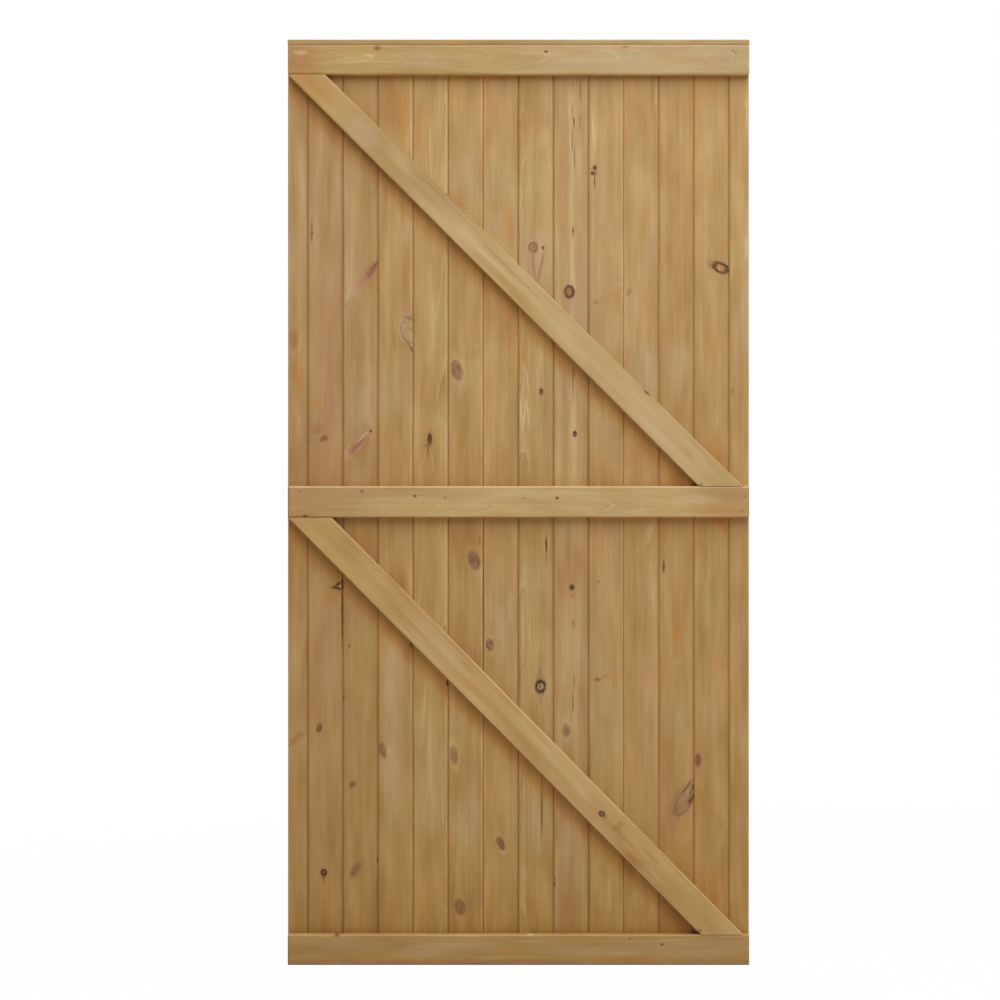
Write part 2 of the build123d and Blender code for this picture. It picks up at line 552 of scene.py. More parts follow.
# A board sawn near the tree's middle shows long pointed flames
flame = {
    "ringContrast": 0.35,
    "paleLines": 0.4,
    "ringSpacing": 2.8,
    "pithDepth": 40.0,
    "sway": (3.0, 5.0),
    "swayLength": 200.0,
    "fibre": 0.28,
}
boardLooks = {
    "board_01": {"other": "olive", "tint": (0.97, 0.98, 1.09)},
    "board_02": {"main": "tan", "other": "rosy", "streak": 0.06, "blotch": 0.3, "tint": (0.92, 0.95, 0.96)},
    "board_03": {"main": "tan", "other": "golden", "tint": (0.92, 0.95, 1.05)},
    "board_04": {"streak": 0.18, "tint": (0.99, 1.04, 1.12)},
    "board_05": {**flame, "pithAcross": 24.0, "fibre": 0.38, "streak": 0.06, "tint": (1.02, 1.09, 1.17)},
    "board_06": {"streak": 0.16, "tint": (0.96, 1.0, 1.07)},
    "board_07": {"tint": (0.99, 1.03, 1.11)},
    "board_08": {**flame, "pithAcross": -28.0, "tint": (1.00, 1.08, 1.18)},
    "board_09": {"main": "tan", "other": "straw", "fibre": 0.2, "ringContrast": 0.35, "paleLines": 0.3,
                 "tint": (0.95, 0.97, 1.08)},
    "board_10": {"main": "tan", "other": "rosy", "streak": 0.15, "tint": (1.00, 1.09, 1.13)},
    "board_11": {"tint": (1.00, 1.05, 1.18)},
    "board_12": {"tint": (0.95, 0.97, 1.02)},
    "board_13": {"other": "olive", "tint": (1.04, 1.05, 1.18)},
    "board_14": {"fibre": 0.32, "ringSpacing": 2.6, "ringContrast": 0.3, "paleLines": 0.3,
                 "tint": (1.01, 1.07, 1.15)},
}
# Painted shade on every board, darker and warmer towards the foot
for look in boardLooks.values():
    look.update(foot=(0.89, 0.875, 0.74), waist=(0.945, 0.96, 0.92), head=(0.935, 0.97, 0.98))


def knot(kind, x, z, wide, tall, share=1.0, lean=0, **more):
    mark = {"kind": kind, "at": (x, z), "size": (wide, tall), "share": share, "lean": lean}
    return {**plainKnot, **knotKinds[kind], **mark, **more}


def patch(stain, x, z, wide, tall, share=0.6, lean=0, **more):
    plain = {"ripple": 0, "straight": False, "shade": False}
    return {**plain, "stain": stain, "at": (x, z), "size": (wide, tall), "share": share, "lean": lean, **more}


def patches(stain, *places):
    return [patch(stain, *place) for place in places]


crack = partial(knot, "crack")
bareCrack = partial(crack, haloShare=0.0)  # with no stain round it


def cracks(*places, **more):
    return [crack(*place, **more) for place in places]


# What marks each piece: its place in mm from the hinge edge and the foot, its width and height, how
# strongly it shows, and its lean in degrees
marks = {}
marks["board_01"] = [
    *patches("amber", (-903, 1240, 24, 54, 0.7), (-900, 1180, 16, 60, 0.3)),
    *patches("orange", (-893, 1165, 20, 90, 0.8), (-902, 1060, 18, 70)),
    patch("amber", -899, 446, 14, 52, 0.6, 50),
    patch("straw", -889, 1560, 20, 160, 0.4),
    patch("orange", -905, 700, 12, 150, 0.5),
]
marks["board_02"] = [
    knot("resin", -867, 1452, 4, 44),
    knot("resin", -866, 1449, 7, 4),
    patch("orange", -859, 1112, 14, 18, 0.7),
    patch("amber", -857, 1060, 26, 30, 0.45),
    knot("plum", -843, 1041, 18, 12, 1, -25, coreShare=0.6, halo="pink", haloShare=0.5),
    crack(-846, 1038, 12, 4, 0.7, -25, core="plum"),
    knot("pin", -873, 1036, 4, 6, 0.4),
    patch("orange", -831, 731, 30, 40),
    crack(-807, 701, 3, 126),
    patch("late", -812, 740, 26, 22, 0.4),
    patch("grey", -814, 752, 40, 30, 0.35),
    crack(-816, 744, 24, 5, 1, 6, core="bark", soft=0.3, coreShare=0.8),
    crack(-815, 752, 22, 5, 1, -40, core="bark", soft=0.3, coreShare=0.8),
    crack(-806, 751, 4, 17, core="bark", soft=0.3),
    bareCrack(-811, 748, 7, 5, 0.9, core="orange"),
    knot("dark", -852, 467, 10, 15, 1, 15, core="plum", coreShare=0.9, rim="umber"),
    knot("dark", -843, 180, 12, 13, coreShare=1.0),
    bareCrack(-844, 181, 3, 3.4, 0.8, core="tan"),
    crack(-843, 168, 4, 18, 0.6),
    *patches("pink", (-838, 640, 50, 260, 0.2), (-825, 1350, 52, 640, 0.2), (-830, 1130, 40, 200, 0.3)),
]
marks["board_03"] = [
    patch("orange", -797, 1729, 14, 40),
    knot("spike", -764, 1357, 70, 15, 1, -50, core="pink", coreShare=0.5),
    knot("spike", -748, 1375, 38, 14, 1, -54, coreShare=0.45),
    crack(-748, 1373, 36, 3, 0.6, -54, core="plum"),
    crack(-741, 1385, 20, 4, 0.8, -54, core="plum"),
    patch("pale", -790, 1330, 44, 16, 0.5, -48),
    knot("spike", -771, 1036, 66, 17, 1, -46, core="pink", coreShare=0.5),
    knot("spike", -779, 1026, 44, 12, 1, -46, coreShare=0.4),
    crack(-776, 1027, 36, 4, 0.5, -46, core="plum"),
    bareCrack(-765, 1046, 40, 3, 0.7, -46, core="pale"),
    *patches("pale", (-758, 1050, 26, 8, 0.5, -46), (-795, 1010, 24, 14, 0.6, -46)),
    knot("pin", -750, 1056, 6, 6, 0.7),
    knot("pin", -792, 630, 4, 6, core="russet", rimShare=0.1),
    crack(-804, 528, 4, 9, 0.7),
    knot("faint", -786, 355, 12, 15, 1, 30, coreShare=0.8),
    crack(-787, 352, 4, 10, 0.8, 40, core="plum"),
    knot("faint", -780, 186, 16, 34, 1, 35, coreShare=0.45),
    crack(-783, 181, 8, 16, 0.5, 35, core="plum"),
    patch("pink", -780, 186, 26, 50, 0.35, 30),
    crack(-736, 205, 5, 12, 0.7),
]
marks["board_04"] = [
    *patches("orange", (-732, 1300, 9, 900), (-709, 1719, 28, 60, 0.8), (-690, 1690, 44, 130, 0.5),
             (-730, 600, 10, 420)),
    # the last pale line runs along the board's right arris: a painted highlight
    *patches("pale", (-670, 1680, 7, 175, 0.5), (-670, 1364, 7, 140, 0.5),
             (-669.5, 910, 3.4, endToEnd, 0.5)),
    knot("paleRinged", -664, 1257, 62, 64, 1, -14, core="haze", coreShare=0.6, rim="russet",
         rimShare=0.3, rimWidth=0.13, haloShare=0.2, rings=0.28, turns=44, parting=0, soft=0.08),
    crack(-674, 1279, 22, 5, 0.38, 24, haloShare=0.5),
    crack(-674, 1228, 4, 28, 0.35, -32, haloShare=0.4),
    crack(-669, 1218, 5, 12, 0.5, -30),
    crack(-671, 1258, 3, 14, 0.35, -60, core="russet"),
    patch("late", -705, 1246, 8, 90, 0.4, -6),
    knot("faint", -727, 424, 14, 30, 1, -15, coreShare=0.65),
    crack(-724, 415, 5, 14, 0.7, -10, core="plum"),
    patch("pale", -712, 424, 8, 22),
    patch("umber", -678, 618, 24, 44, 0.45),
    crack(-670, 632, 5, 12, 0.8),
    patch("straw", -690, 300, 40, 150, 0.4),
]
marks["board_05"] = [
    *patches("orange", (-656, 1650, 14, 135), (-662, 1240, 10, 200, 0.4)),
    *patches("pale", (-632, 1620, 5, 115), (-632, 433, 5, 185), (-645, 500, 4, 160, 0.4, 4),
             (-615, 640, 5, 130, 0.4)),
    patch("orange", -634, 1035, 22, 60, 0.5),
    crack(-633, 1041, 9, 20, core="bark", soft=0.3, coreShare=0.95, halo="late", haloShare=0.6),
    *patches("pale", (-642, 1010, 4, 50, 0.5, 12), (-628, 1000, 4, 60, 0.5, -8)),
    *cracks((-634, 1030, 16, 5, 0.6, -30), (-637, 1016, 4, 24, 0.5, 10), (-598, 556, 5, 10)),
    # a painted highlight along the board's right arris
    patch("pale", -600.0, 910, 3.4, endToEnd),
    patch("orange", -606, 180, 20, 120, 0.4),
]
marks["board_06"] = [
    knot("plum", -579, 1176, 22, 42, 1, -12),
    patch("grey", -545, 799, 26, 42, 0.5, -20),
    knot("plum", -545, 799, 24, 38, 1, -20, coreShare=0.75, soft=0.4),
    crack(-536, 793, 4, 12, 0.8, -8),
    knot("plum", -585, 413, 17, 38, 1, -10, coreShare=0.6),
    knot("plum", -573, 112, 21, 34, 1, -12),
    patch("umber", -534, 840, 10, 24, 0.4),
    patch("orange", -562, 783, 12, 16),
    patch("straw", -553, 1187, 40, 110, 0.5),
    patch("orange", -568, 1525, 22, 90, 0.65),
    patch("amber", -545, 1210, 34, 26, 0.25),
    patch("pale", -537, 1560, 12, 260, 0.5, ripple=9),
    patch("late", -537, 1560, 12, 260, 0.28, ripple=9),
    patch("late", -562, 1500, 22, 90, 0.25, ripple=9),
    # the last pale line is a painted highlight along the board's right arris
    patch("pale", -530.6, 910, 3.2, endToEnd, 0.5),
]
marks["board_07"] = [
    knot("plum", -514, 632, 16, 26, 1, -8, coreShare=0.85),
    knot("plum", -492, 238, 15, 30, 1, -22, coreShare=0.9),
    patch("pale", -486, 226, 12, 20, 0.5),
    *patches("orange", (-498, 1451, 12, 40), (-478, 1475, 26, 110, 0.85)),
    patch("straw", -505, 1600, 30, 120, 0.4),
    patch("pale", -506, 1250, 20, 200, 0.25),
    *patches("orange", (-470, 1230, 24, 200, 0.5), (-515, 1140, 18, 160, 0.4)),
]
marks["board_08"] = [
    patch("pink", -434, 1664, 34, 110, 0.35),
    patch("straw", -406, 1644, 22, 60, 0.7),
    patch("pink", -428, 1420, 60, 110, 0.5),
    knot("paleRinged", -428, 1420, 18, 21, rim="umber", rimShare=0.55, rimWidth=0.4, core="plum",
         coreShare=0.3, rings=0.7),
    bareCrack(-427, 1420, 4, 7, 0.5, 30),
    patch("pink", -428, 1378, 15, 60, 0.5),
    knot("spike", -428, 1386, 6, 56, 1, -6, coreShare=0.35, soft=0.8, parting=0),
    knot("pin", -408, 1419, 4.4, 6, core="bark"),
    knot("spike", -412, 1383, 6, 64, 1, 11, coreShare=0.45, soft=0.8, parting=0),
    *patches("pale", (-447, 1150, 4, 90, 0.7, 5), (-440, 1160, 3.5, 70, 0.6, -7),
             (-452, 1090, 4, 90, 0.7, -3), (-445, 1086, 3.5, 74, 0.8, 5), (-438, 1092, 3.5, 60, 0.7, -5),
             (-445, 1030, 4, 60, 0.5, 8), (-448, 640, 3, 300, 0.6, 1), (-441, 720, 3, 200, 0.5, -2),
             (-434, 640, 2.6, 260, 0.4, 1), (-446, 330, 3, 300, 0.4, 1), (-437, 280, 3, 240, 0.4, -1)),
    patch("orange", -450, 1200, 12, 160, 0.45),
    knot("dark", -412, 1134, 8, 12, core="umber", rimShare=0.4),
    patch("orange", -412, 1124, 10, 12, 0.5),
    *cracks((-402, 830, 4, 26), (-402, 824, 3, 60, 0.5)),
    *patches("pale", (-398, 830, 3, 60, 0.5, 3), (-406, 830, 3, 60, 0.5, -3)),
    *patches("pink", (-414, 580, 12, 34, 0.7), (-414, 522, 12, 34, 0.7)),
    patch("grey", -414, 566, 22, 26, 0.4),
    *cracks((-414, 578, 3, 22, 0.4), (-412, 522, 3, 20, 0.45)),
    knot("ringed", -413, 549, 19, 24, halo="late", haloShare=0.6, rimWidth=0.62, rings=0.6),
    knot("pin", -414, 549, 3.4, 7, 1, 10, haloShare=0.0),
    crack(-411, 324, 5, 110, 0.8, core="amber"),
    crack(-411, 290, 3, 70, 0.6),
]
marks["board_09"] = [
    patch("pale", -350, 1340, 15, 1300, 0.52),
    patch("rosy", -328, 1500, 14, 700, 0.5),
    patch("pale", -349, 1640, 8, 240, 0.5),
    *cracks((-349, 1740, 3, 24, 0.35), (-350, 1690, 3, 30, 0.55), (-347, 1668, 3, 22, 0.8),
            (-350, 1632, 3, 44, 0.55), (-346, 1598, 3, 40, 0.5), (-349, 1451, 4, 17, 0.8),
            (-349, 1154, 3, 60, 0.6), (-346, 1176, 3, 30, 0.4), (-349, 519, 3, 40, 0.6),
            (-347, 560, 3, 22, 0.4)),
    patch("pale", -347, 520, 8, 130),
    *patches("plum", (-334, 1729, 7, 60, 0.5), (-335, 1672, 4, 50, 0.45)),
    patch("pink", -352, 1296, 16, 64),
    patch("pale", -350, 1290, 4, 60, 0.6, 4),
    knot("ringed", -356, 1332, 20, 25, core="late", coreShare=0.8, rim="umber", rimWidth=0.46,
         rings=0.6),
    bareCrack(-350, 1331, 5, 17, 0.7, -6, core="bark"),
    bareCrack(-357, 1323, 15, 3.4, 0.7),
    bareCrack(-357, 1343, 10, 3, 0.7, 20),
    patch("pale", -359, 1333, 3, 11, 0.7, 12),
    knot("dark", -345, 1050, 8, 11),
    knot("dark", -351, 746, 10, 11, coreShare=0.7, rimShare=0.3),
    crack(-350, 730, 8, 6, 0.5, core="amber"),
    patch("amber", -349, 673, 9, 26),
    knot("plum", -362, 462, 17, 26, core="umber", coreShare=0.45, soft=0.4, rings=0.5),
    patch("grey", -360, 460, 10, 18, 0.5),
    patch("pink", -366, 430, 14, 50, 0.4),
    crack(-386, 162, 6, 16, 0.8),
    bareCrack(-386.5, 163, 3, 6, core="haze", coreShare=1.0),
]
marks["board_10"] = [
    crack(-308, 1567, 12, 10, 1, 10, core="russet", soft=0.35, coreShare=1.0, halo="orange"),
    crack(-306, 1577, 9, 12, 1, 12, core="russet", soft=0.35, coreShare=1.0, halo="orange"),
    bareCrack(-305, 1578, 5, 8, 0.8, core="bark"),
    bareCrack(-309, 1567, 8, 5, 0.9, core="bark"),
    crack(-316, 1576, 7, 5, 0.5, core="russet"),
    crack(-306, 1552, 3, 28, core="russet"),
    patch("pink", -313, 1584, 12, 20, 0.5),
    *patches("pale", (-309, 1655, 4, 90, 0.6, -3), (-303, 1640, 3, 70, 0.5, 3)),
    knot("spike", -276, 1332, 62, 4, 0.6, -43, core="late", halo="pale"),
    knot("spike", -282, 1320, 52, 4, 0.7, -30, core="late", halo="honey"),
    crack(-304, 1311, 10, 4, 0.5, 30, core="russet"),
    patch("pink", -300, 1312, 12, 8),
    patch("orange", -260, 1326, 26, 44, 0.5, 20),
    knot("pin", -299, 757, 5, 5, 0.5, core="russet"),
    patch("orange", -266, 571, 34, 18, 0.5, -14),
    patch("pink", -272, 580, 40, 12, 0.5, -16),
    crack(-300, 563, 13, 6, 1, -6, core="amber", halo="orange", haloShare=0.6),
    crack(-285, 570, 18, 3, 0.5, -32, core="amber"),
]
marks["board_11"] = [
    patch("pale", -184, 1719, 5, 80, 0.7),
    patch("straw", -224, 1600, 30, 300, 0.35),
    *patches("orange", (-196, 1293, 18, 170, 0.5), (-188, 1560, 12, 200, 0.4)),
    knot("faint", -238, 1331, 10, 16, 1, 24, coreShare=0.45),
    patch("pale", -198, 856, 18, 54, 0.5, 20),
    patch("pink", -215, 1290, 20, 120, 0.25),
]
marks["board_12"] = [
    patch("straw", -168, 1500, 9, 700, 0.5),
    *patches("orange", (-140, 1480, 12, 600, 0.4), (-172, 1210, 12, 90, 0.55)),
    crack(-169, 788, 5, 24),
    patch("orange", -142, 660, 26, 60, 0.6, 30),
    patch("pale", -136, 600, 12, 50, 0.2, 60),
    knot("paleRinged", -127, 324, 32, 78, 1, 30, core="grey", coreShare=0.42, rimShare=0.4,
         rimWidth=0.16, rings=0.25, turns=44, parting=0, soft=0.15),
    patch("pink", -140, 310, 26, 60, 0.6, 33),
    patch("plum", -143, 304, 12, 34, 0.35, 33),
    bareCrack(-141, 336, 4, 60, 0.35, 33, core="plum"),
    patch("pale", -128, 330, 7, 50, 0.7, 33),
    patch("plum", -139, 308, 12, 14, 0.4, 40),
    *cracks((-122, 352, 4, 36, 0.7, 36), (-112, 346, 3, 34, 0.9, 22), (-112, 330, 4, 24, 0.9, 35),
            (-118, 322, 5, 14, 0.9, 40), (-115, 318, 3, 30, 0.7, 25), haloShare=0.0),
    patch("pale", -146, 292, 5, 50, 0.5, 38),
    # painted shade in the corners where each brace's foot meets a ledge
    patch("bark", -111, 950, 30, 9, 0.8, shade=True),
    patch("bark", -111, 64, 30, 9, 0.8, shade=True),
]
marks["board_13"] = [
    patch("plum", -76, 1387, 16, 24, 0.5),
    knot("ringed", -55, 1379, 31, 20, 1, 22, core="orange", coreShare=0.4, haloShare=0.3, rings=0.4,
         rimWidth=0.46),
    crack(-70, 1386, 10, 5, 0.8, -20),
    crack(-71, 1381, 9, 5, 0.7, 50, core="bark"),
    *cracks((-44, 1373, 16, 6, 0.9, 35), (-60, 1391, 22, 4, 0.8, 8)),
    patch("pale", -57, 1382, 9, 5, 0.5, 20),
    patch("orange", -53, 1416, 20, 22, 0.5),
    *patches("straw", (-75, 1630, 36, 60, 0.55), (-85, 1380, 12, 420, 0.35)),
    knot("plum", -101, 403, 13, 28, core="umber", coreShare=0.6, halo="pink"),
    *patches("umber", (-102, 404, 7, 18, 0.5), (-57, 280, 16, 34, 0.2)),
    patch("amber", -48, 1000, 20, 60, 0.35),
    # painted shade in the corners where each brace's foot meets a ledge
    patch("bark", -103, 950, 24, 9, 0.8, shade=True),
    patch("bark", -103, 64, 24, 9, 0.8, shade=True),
]
marks["board_14"] = [
    patch("orange", -35, 1227, 9, 24),
    patch("russet", -33, 1135, 7, 18, 0.5),
    # the last pale line runs along the gate's right edge: a painted highlight
    *patches("pale", (-4, 1690, 9, 70), (-5, 1420, 8, 60), (-1.0, 910, 4, endToEnd, 0.5)),
    patch("orange", -18, 1240, 16, 200, 0.35),
]
marks["top_ledge"] = [
    patch("amber", -900, 1785, 120, 150),
    *patches("haze", (-650, 1790, 60, 150, 0.3), (-120, 1790, 200, 800, 0.5)),
    knot("dark", -736, 1812, 9, 10, core="plum", rim="plum"),
    knot("pin", -403, 1805, 5, 6),
    patch("orange", -256, 1811, 14, 44, 0.5),
    crack(-247, 1815, 4, 10, 0.5),
    patch("orange", -150, 1790, 24, 120, 0.35),
    # painted highlight on the top arris's right part
    patch("pale", -150, 1818.4, 4, 420, 0.7),
    knot("nail", -33, 1807, 4, 4),
    knot("nail", -28, 1803, 3, 4),
    patch("orange", -13, 1776, 10, 10, 0.7),
    *patches("pale", (-889, 1803, 9, 34, 0.5), (-754, 1797, 9, 30, 0.5)),
    patch("late", -560, 1788, 14, 240, 0.3),
]
marks["top_cap"] = [
    *patches("haze", (-200, 1825, 200, 560), (-840, 1825, 200, 300, 0.25)),
    patch("amber", -515, 1825, 30, 120, 0.2),
    # painted shade along the cap's lower edge, at the seam over the ledge
    patch("late", -457, 1821, 4, endToEnd, 0.25),
    *patches("orange", (-586, 1825, 9, 64), (-104, 1825, 9, 34)),
]
marks["middle_ledge"] = [
    knot("pin", -766, 936, 5, 6, 0.7, core="russet"),
    knot("pin", -662, 927, 5, 6),
    knot("pin", -602, 923, 4, 5, 0.5),
    knot("pin", -446, 923, 5, 6, 0.6, core="olive"),
    knot("pin", -381, 923, 5, 6),
    crack(-878, 888, 4, 10, core="bark"),
    *patches("amber", (-885, 912, 110, 200, 0.5), (-880, 888, 10, 80, 0.3)),
    patch("tan", -840, 905, 200, 400),
    patch("amber", -40, 915, 90, 170, 0.4),
    patch("pale", -108, 919, 26, 100, 0.4),
    *patches("orange", (-98, 901, 20, 200, 0.45), (-600, 899, 12, 260, 0.25)),
    *(knot("nail", x, z, 4, 4, 0.6) for x, z in ((-889, 936), (-889, 895), (-10, 926), (-14, 897))),
    # painted highlight along the top arris
    *patches("pale", (-457, 945, 4, endToEnd), (-56, 946, 5, 90, 0.9)),
    patch("umber", -912, 915, 200, 6, 0.5),
]
marks["bottom_ledge"] = [
    knot("pin", -174, 41, 5, 6),
    knot("pin", -238, 52, 4, 5, 0.5),
    knot("nail", -6, 41, 4, 4, 0.6),
    knot("nail", -7, 7, 4, 4, 0.6),
    crack(-816, 59, 4, 9),
    patch("pale", -434, 59, 5, 14, 0.9),
    *patches("haze", (-805, 40, 26, 180, 0.4, 4), (-640, 30, 30, 150, 0.5, -5),
             (-560, 36, 20, 200, 0.35), (-330, 30, 26, 240, 0.35, 3), (-110, 34, 40, 300, 0.45)),
    patch("late", -820, 30, 60, 280, 0.25),
    *patches("orange", (-720, 20, 16, 160, 0.4), (-470, 22, 20, 90, 0.5), (-240, 16, 12, 180, 0.4)),
    # painted contact shade along the foot of the gate
    patch("amber", -457, 7, 10, endToEnd, 0.35),
    patch("bark", -457, 0, 6, endToEnd, 0.95),
    patch("umber", -913, 30, 200, 7, 0.5),
]
marks["upper_brace"] = [
    patch("golden", -820, 1690, 200, 560, 1.0),
    patch("olive", -790, 1650, 60, 360, 0.5),
    patch("straw", -260, 1140, 60, 500, 0.5),
    patch("orange", -870, 1745, 60, 130, 0.5),
    patch("amber", -868, 1742, 60, 120, 0.25),
    patch("haze", -765, 1645, 60, 90, 0.5),
    patch("amber", -299, 1180, 50, 90, 0.15),
    *patches("pale", (-690, 1585, 26, 90, 0.5), (-590, 1460, 16, 240, 0.4)),
    *patches("late", (-655, 1560, 10, 60, 0.3), (-590, 1500, 5, 300, 0.3), (-480, 1380, 10, 260, 0.3)),
    *patches("pale", (-520, 1400, 8, 200, 0.5), (-330, 1210, 22, 160, 0.35), (-200, 1060, 20, 160, 0.4)),
    *patches("amber", (-190, 1020, 16, 40, 0.25), (-120, 1010, 18, 50, 0.25)),
    # the first is a painted shade along the upper arris's top half, dimming its highlight
    *patches("late", (-660, 1583, 7, 560, 0.8), (-760, 1660, 50, 200, 0.25), (-640, 1530, 60, 240, 0.3)),
    patch("pale", -160, 1060, 60, 260, 0.25),
    # painted shade at the brace's foot, beside the ledge
    patch("umber", -99, 950, 12, 12),
    crack(-203, 1131, 5, 13, core="russet"),
]
marks["lower_brace"] = [
    patch("golden", -820, 810, 200, 560, 0.8),
    patch("pale", -400, 430, 30, 300, 0.3),
    patch("golden", -150, 130, 120, 300, 0.7),
    *patches("haze", (-760, 773, 50, 90, 0.12), (-630, 645, 60, 200, 0.3)),
    patch("straw", -379, 388, 50, 90),
    patch("amber", -302, 311, 50, 80, 0.2),
    patch("late", -150, 156, 50, 80, 0.2),
    patch("amber", -232, 208, 20, 60, 0.45),
    patch("late", -208, 196, 16, 50, 0.3),
    *patches("amber", (-196, 214, 10, 40, 0.3), (-170, 140, 14, 70, 0.3)),
    patch("late", -262, 262, 26, 70, 0.25),
    patch("pale", -190, 180, 10, 60, 0.3),
    patch("late", -370, 370, 16, 150, 0.25),
    patch("amber", -560, 590, 10, 60, 0.25),
    patch("late", -640, 700, 14, 90, 0.2),
    patch("amber", -706, 760, 12, 50, 0.25),
    patch("late", -790, 830, 16, 60, 0.3),
    patch("pink", -640, 660, 14, 60, 0.2),
    knot("dark", -292, 299, 11, 12, coreShare=0.6, rimShare=0.6),
    bareCrack(-291, 300, 3, 4, 0.7, core="grey"),
    patch("amber", -262, 276, 30, 20, 0.5, 20),
    patch("plum", -285, 292, 12, 8, 0.3, 40),
    # painted shade at the brace's foot, beside the ledge
    patch("umber", -99, 64, 12, 12),
]

firstJoint = -874.6
boardCover = 69.6
gateMiddle = 910  # its height


def boardMiddle(board):
    return firstJoint + (board - 1.5) * boardCover


def markBoard(board, *more):
    marks[f"board_{board:02d}"] += more


# Broad clouds in the stain, right across a board: its number, then the height, how tall and how strong
clouds = {
    "haze": [
        (1, 1405, 150, 0.3), (4, 1130, 130, 0.25), (4, 440, 420, 0.45), (5, 350, 280, 0.4),
        (6, 1560, 140, 0.35), (6, 280, 140, 0.4), (7, 1480, 240, 0.25), (7, 690, 200, 0.3),
        (8, 757, 110, 0.25), (8, 1400, 120, 0.3), (8, 275, 130, 0.45), (9, 1270, 120, 0.35),
        (9, 210, 220, 0.3), (10, 480, 240, 0.35), (11, 1160, 160, 0.5), (12, 1192, 110, 0.25),
        (12, 480, 110, 0.2), (13, 480, 110, 0.2), (13, 1680, 110, 0.25), (14, 1267, 140, 0.4),
    ],
    "amber": [
        (1, 1000, 110, 0.3), (1, 770, 190, 0.3), (3, 810, 110, 0.2), (4, 1690, 110, 0.45),
        (4, 720, 150, 0.5), (5, 1130, 130, 0.4), (6, 1400, 110, 0.2), (6, 810, 110, 0.25),
        (6, 590, 150, 0.35), (6, 1331, 110, 0.15), (7, 1270, 120, 0.4), (9, 800, 140, 0.35),
        (11, 1680, 110, 0.3), (11, 1020, 80, 0.3), (14, 690, 380, 0.25),
    ],
    "orange": [(3, 810, 110, 0.6), (12, 170, 140, 0.6), (13, 1010, 100, 0.4), (13, 140, 120, 0.45)],
    "late": [
        (2, 1480, 220, 0.25), (3, 1680, 110, 0.25), (3, 1020, 110, 0.3), (8, 1690, 130, 0.5),
        (8, 1331, 90, 0.2), (8, 480, 110, 0.25), (11, 1608, 110, 0.25), (5, 1608, 110, 0.2),
        (5, 204, 110, 0.2), (13, 204, 110, 0.2), (14, 1600, 120, 0.2),
    ],
}
cloudWidth = 70  # mm
for stain, places in clouds.items():
    for board, height, tall, share in places:
        markBoard(board, patch(stain, boardMiddle(board), height, cloudWidth, tall, share))

# Bare wood shows in each joint, with stain gathered beside it; from the closing edge on
jointStains = "umber umber umber amber amber honey umber russet umber honey amber amber russet".split()
jointLook = {"bare": 2.2, "stained": 5, "apart": 1.6}  # mm
for n, stain in enumerate(jointStains):
    joint = firstJoint + n * boardCover
    bare = patch("honey", joint, gateMiddle, jointLook["bare"], endToEnd, 0.9, straight=True)
    for board, side in ((n + 1, -1), (n + 2, 1)):
        beside = joint + side * jointLook["apart"]
        stained = patch(stain, beside, gateMiddle, jointLook["stained"], endToEnd, 0.3, straight=True)
        markBoard(board, stained, bare)

# The sixth joint is darker under the middle ledge
sixthJoint = patch("umber", firstJoint + 5 * boardCover, 730, 5, 420, 0.45)
for board in (6, 7):
    markBoard(board, sixthJoint)

# Painted shadow, warm and dark, on the boards under the lower edge of each brace: its two ends, then what it
# leaves
braceShades = [((-913, 1760), (-100, 946)), ((-913, 883), (-98, 60))]
for (farX, farZ), (nearX, nearZ) in braceShades:
    slope = (farZ - nearZ) / (farX - nearX)
    length = math.hypot(farX - nearX, farZ - nearZ)
    lean = -math.degrees(math.atan(slope))
    for board in range(1, len(boardLooks) + 1):
        middle = boardMiddle(board)
        if nearX < middle - boardCover / 2:
            continue
        edge = nearZ + (middle - nearX) * slope
        for stain, under, wide, share in (("orange", 12, 52, 0.75), ("amber", 22, 30, 0.25)):
            markBoard(board, patch(stain, middle, edge - under, length, wide, share, lean, shade=True))


def middleOf(node):
    low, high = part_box(node)
    return (low + high) / 2


def inPiece(mark, middle, angle):
    # A mark is given from the hinge edge and the foot; its material wants it from the piece's middle
    alongX = mark["at"][0] - middle.x / mm
    upZ = mark["at"][1] - middle.z / mm
    across = alongX * math.sin(angle) - upZ * math.cos(angle)
    along = alongX * math.cos(angle) + upZ * math.sin(angle)
    return {**mark, "across": across, "along": along}


def dress(node, look, angle):
    middle = middleOf(node)
    inWood = [inPiece(mark, middle, angle) for mark in marks[node]]
    settings = {
        **look,
        "middle": middle,
        "angle": angle,
        "knots": [mark for mark in inWood if "kind" in mark],
        "patches": [mark for mark in inWood if "stain" in mark],
    }
    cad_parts[node].data.materials[0] = pine(f"pine {node}", settings)


for node, look in boardLooks.items():
    half = middleOf(node).z / mm
    edges = [(height - half, *rest) for height, *rest in ledgePaintedShades]
    dress(node, {**look, "ledgePaintedShades": edges}, math.pi / 2)
print("boards finished")

calm = {
    "fibre": 0.14,
    "streak": 0.06,
    "blotch": 0.26,
    "warmth": 0.18,
    "paleness": 0.35,
    "ringContrast": 0.16,
}
# Their under and over tints are painted light and shade on the arrises
ledgeLooks = {
    "bottom_ledge": {"tint": (0.85, 0.88, 0.83), "over": (1.06, 1.1, 1.15)},
    "middle_ledge": {"main": "straw", "otherShare": 0.3, "paleLines": 0.5, "pithAcross": 8.0,
                     "ringSpacing": 2.8, "tint": (0.93, 1.01, 1.12), "under": (1.24, 1.09, 0.83)},
    "top_ledge": {"other": "olive", "paleLines": 0.5, "pithAcross": -4.0, "ringSpacing": 2.8,
                  "tint": (0.88, 0.97, 1.05), "under": (1.6, 1.42, 1.2), "over": (1.0, 1.0, 0.95)},
    "top_cap": {"main": "dull", "other": "golden", "tint": (0.82, 0.84, 0.75), "under": (2.0, 1.9, 1.75)},
}
for node, look in ledgeLooks.items():
    dress(node, {**calm, "pithDepth": 36.0, "pithLean": 0.05, **look}, 0.0)
print("ledges and cap finished")

